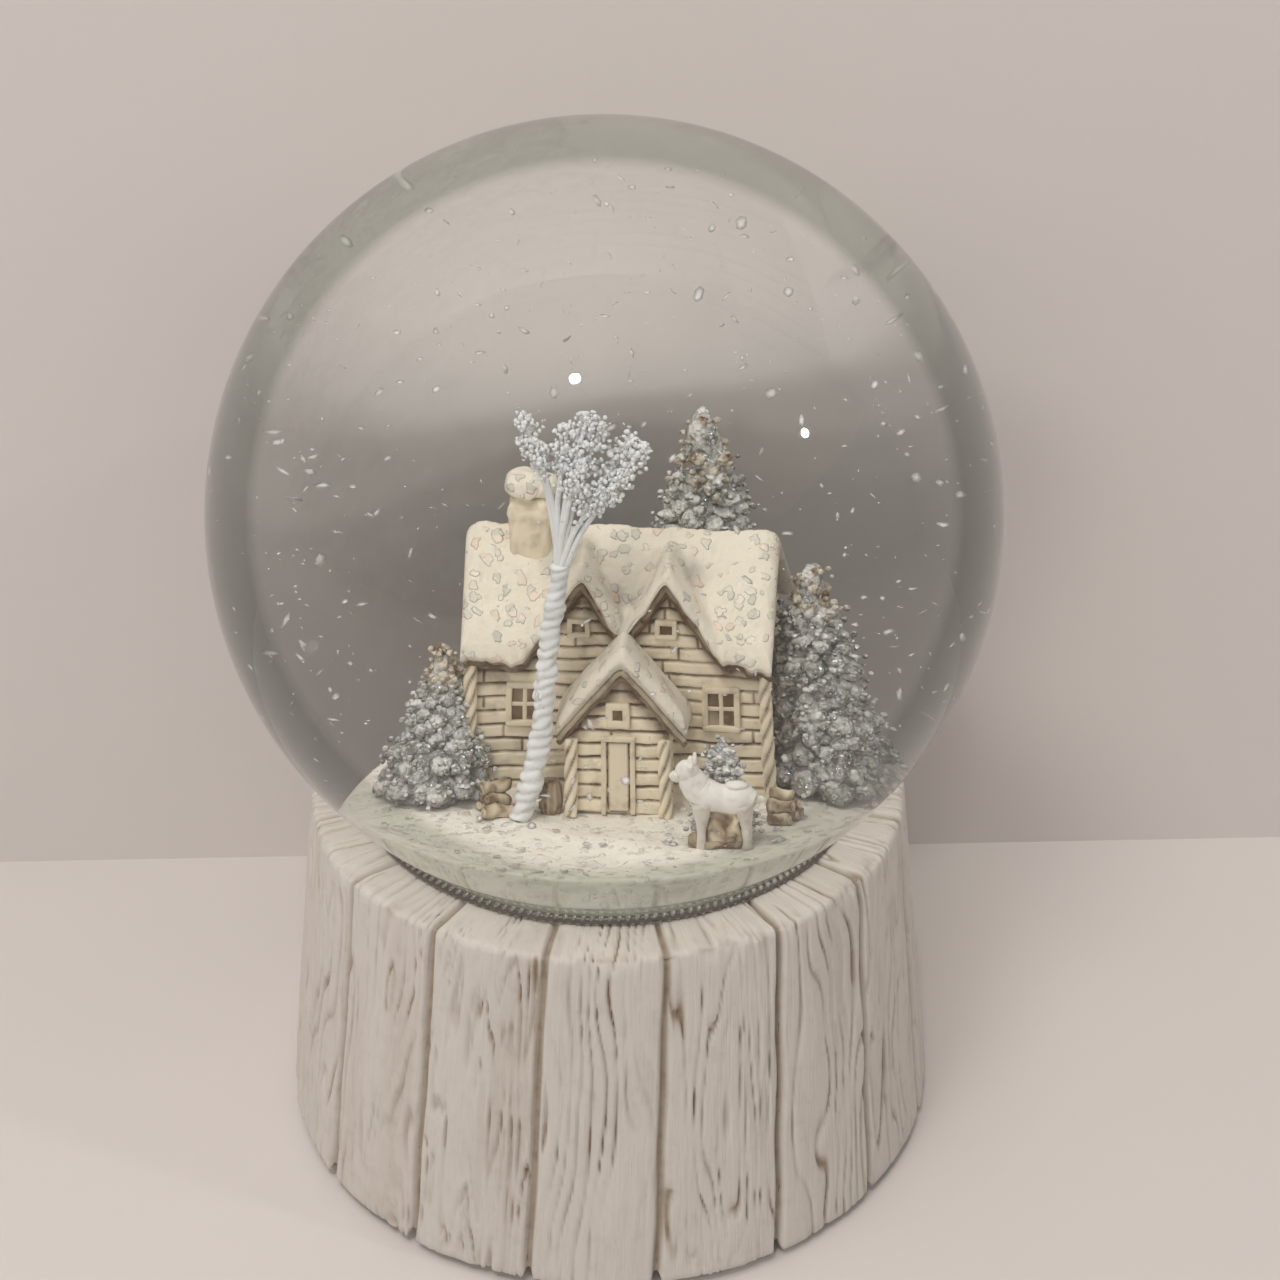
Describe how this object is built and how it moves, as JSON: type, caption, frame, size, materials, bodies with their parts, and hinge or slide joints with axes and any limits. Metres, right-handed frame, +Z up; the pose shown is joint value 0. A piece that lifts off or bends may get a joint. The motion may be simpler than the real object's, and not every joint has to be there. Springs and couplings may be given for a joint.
{
  "type": "snow globe",
  "caption": "Water-filled glass ball with a cabin scene and drifting flakes, on a round plank-sided base holding a wind-up musical movement.",
  "frame": {"origin": "middle of the foot, on the surface it stands on", "axes": "+Z up the ball's axis, -Y towards the front of the cabin scene, +X to the viewer's right"},
  "size_m": [0.12, 0.12, 0.1665],
  "materials": {
    "base_resin": "cast resin, whitewashed wood grain with brown wash in the grooves",
    "plate_plastic": "moulded black plastic",
    "zinc_screw": "zinc plated",
    "felt": "dark felt",
    "stopper_rubber": "moulded rubber",
    "adhesive": "set clear glue",
    "trim_metal": "pewter-grey metallic braid",
    "ball_glass": "clear polished glass",
    "clear_liquid": "clear water and glycol",
    "flake_white": "matt white flakes",
    "snow_resin": "cream snow with glitter",
    "cabin_resin": "ivory resin with brown wash",
    "fir_resin": "cream and brown resin, silver glitter",
    "frost_resin": "cool white frost",
    "deer_resin": "white resin",
    "log_resin": "resin with brown wash",
    "movement_steel": "plated steel",
    "movement_brass": "turned brass",
    "spring_steel": "ground steel",
    "key_brass": "cast brass",
    "fly_plastic": "moulded white plastic"
  },
  "bodies": {
    "globe": {"base_shell": "base_resin", "bottom_plate": "plate_plastic", "plate_screws": "zinc_screw", "felt_pads": "felt", "stopper": "stopper_rubber", "adhesive_ring": "adhesive", "trim_cord": "trim_metal", "glass_globe": "ball_glass", "liquid": "clear_liquid", "snow_flakes": "flake_white", "snow_mound": "snow_resin", "cabin_walls": "cabin_resin", "cabin_roof": "snow_resin", "corner_posts": "cabin_resin", "windows": "cabin_resin", "porch": "cabin_resin", "porch_roof": "snow_resin", "door": "cabin_resin", "chimney": "cabin_resin", "chimney_cap": "snow_resin", "fir_back": "fir_resin", "fir_right": "fir_resin", "fir_left": "fir_resin", "shrub": "fir_resin", "frosted_trunk": "frost_resin", "frost_clusters": "frost_resin", "deer": "deer_resin", "log_piles": "log_resin", "bedplate": "movement_steel", "movement_screws": "zinc_screw", "spring_barrel": "movement_brass", "mainspring": "spring_steel", "drum_post": "movement_steel", "end_posts": "movement_steel", "comb": "spring_steel", "comb_screws": "zinc_screw", "governor_frame": "movement_steel"},
    "winder": {"winding_key": "key_brass", "winding_arbor": "spring_steel", "great_wheel": "movement_brass"},
    "music_drum": {"drum": "movement_brass", "drum_pins": "spring_steel", "drum_pinion": "spring_steel", "drum_wheel": "movement_brass"},
    "counter": {"counter_shaft": "spring_steel", "counter_pinion": "spring_steel", "worm_wheel": "movement_brass"},
    "governor": {"fly_shaft": "spring_steel", "worm": "spring_steel", "fly": "fly_plastic"}
  },
  "joints": [
    {"name": "key_turn", "type": "hinge", "parent": "globe", "child": "winder", "pos_m": [0, 0, 0.01], "axis": [0, 0, 1], "range_deg": [0, 2160]},
    {"name": "drum_turn", "type": "hinge", "parent": "globe", "child": "music_drum", "pos_m": [0.02, 0, 0.03053], "axis": [1, 0, 0], "range_deg": [-1, 4321]},
    {"name": "counter_turn", "type": "hinge", "parent": "globe", "child": "counter", "pos_m": [0.028, 0.01083, 0.02428], "axis": [1, 0, 0], "range_deg": [-17281, 1]},
    {"name": "fly_turn", "type": "hinge", "parent": "globe", "child": "governor", "pos_m": [0.02475, 0.0171, 0.03], "axis": [0, 0, 1], "range_deg": [-10, 345610]}
  ],
  "couplings": [
    {"joint": "drum_turn", "follows": "key_turn", "ratio": 2},
    {"joint": "counter_turn", "follows": "key_turn", "ratio": -8},
    {"joint": "fly_turn", "follows": "key_turn", "ratio": 160}
  ]
}
